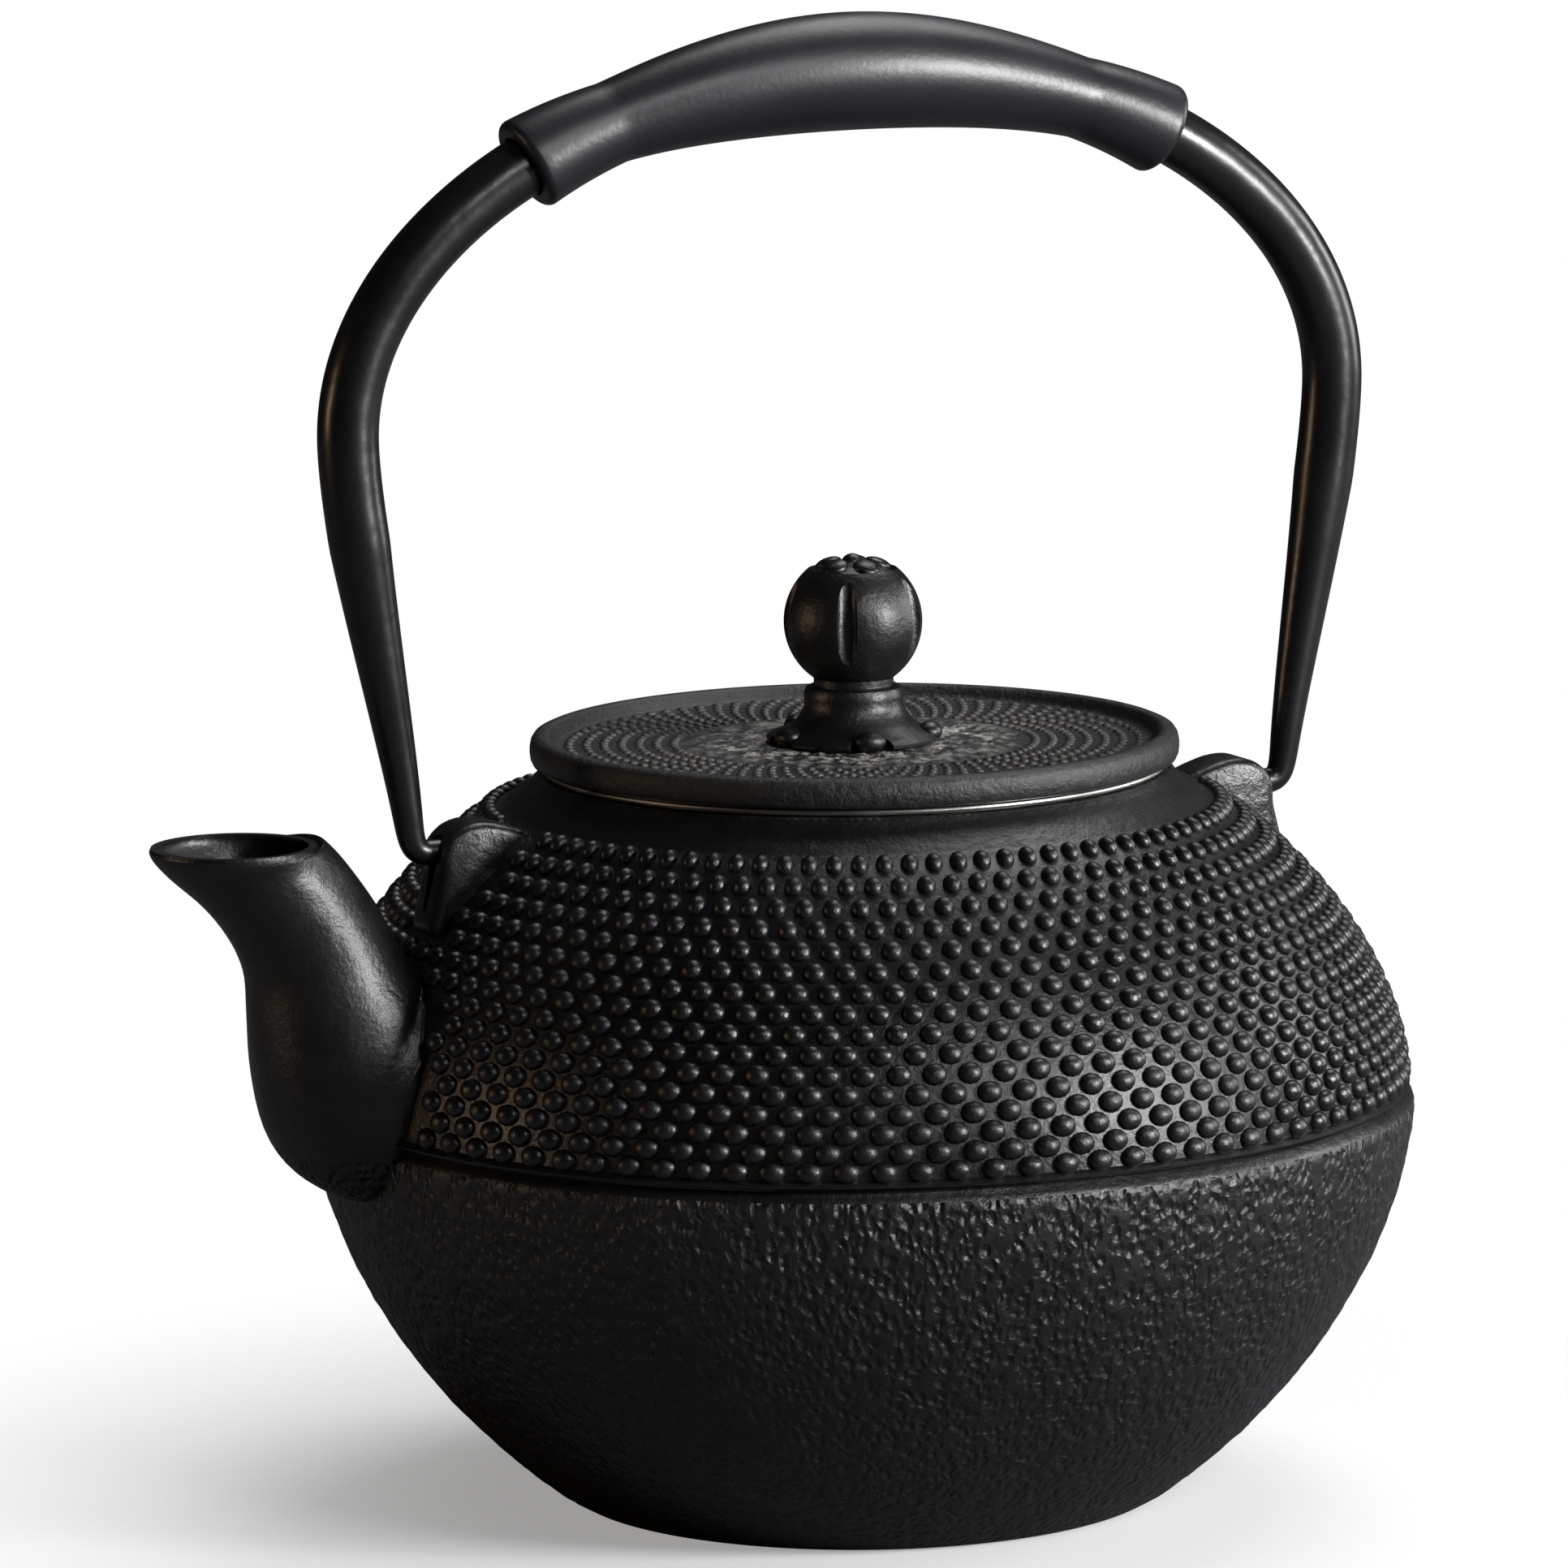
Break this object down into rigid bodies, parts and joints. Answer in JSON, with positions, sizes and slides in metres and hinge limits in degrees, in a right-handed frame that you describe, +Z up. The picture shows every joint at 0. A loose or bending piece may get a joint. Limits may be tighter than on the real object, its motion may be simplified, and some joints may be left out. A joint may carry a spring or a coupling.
{
  "type": "cast iron teapot",
  "caption": "Cast iron teapot with hobnail relief, short spout, swinging bail with a moulded grip, knobbed lid and lift-out steel infuser.",
  "frame": {"origin": "middle of the flat base, on the surface the teapot stands on", "axes": "+Z up through the lid's knob, the spout points along -X, and the bail turns about a line along +X through both lugs"},
  "size_m": [0.1961, 0.165, 0.2212],
  "materials": {
    "cast_iron": "satin black lacquer over cast relief",
    "painted_steel": "semi-gloss black paint",
    "moulded_grip": "satin black moulding",
    "stainless": "polished edge, fine turning marks"
  },
  "bodies": {
    "pot": {"pot_body": "cast_iron"},
    "infuser": {"infuser_rim": "stainless", "infuser_sleeve": "stainless", "infuser_base": "stainless"},
    "lid": {"lid": "cast_iron", "knob_seat": "cast_iron", "lid_knob": "cast_iron", "knob_washer": "stainless"},
    "bail": {"bail": "painted_steel", "bail_grip": "moulded_grip"}
  },
  "joints": [
    {"name": "bail_swing", "type": "hinge", "parent": "pot", "child": "bail", "pos_m": [0, 0, 0.1016], "axis": [1, 0, 0], "range_deg": [-125, 125]},
    {"name": "infuser_lift", "type": "slide", "parent": "pot", "child": "infuser", "axis": [0, 0, 1], "range_m": [0, 0.055]},
    {"name": "lid_lift", "type": "slide", "parent": "infuser", "child": "lid", "axis": [0, 0, 1], "range_m": [0, 0.03]}
  ]
}
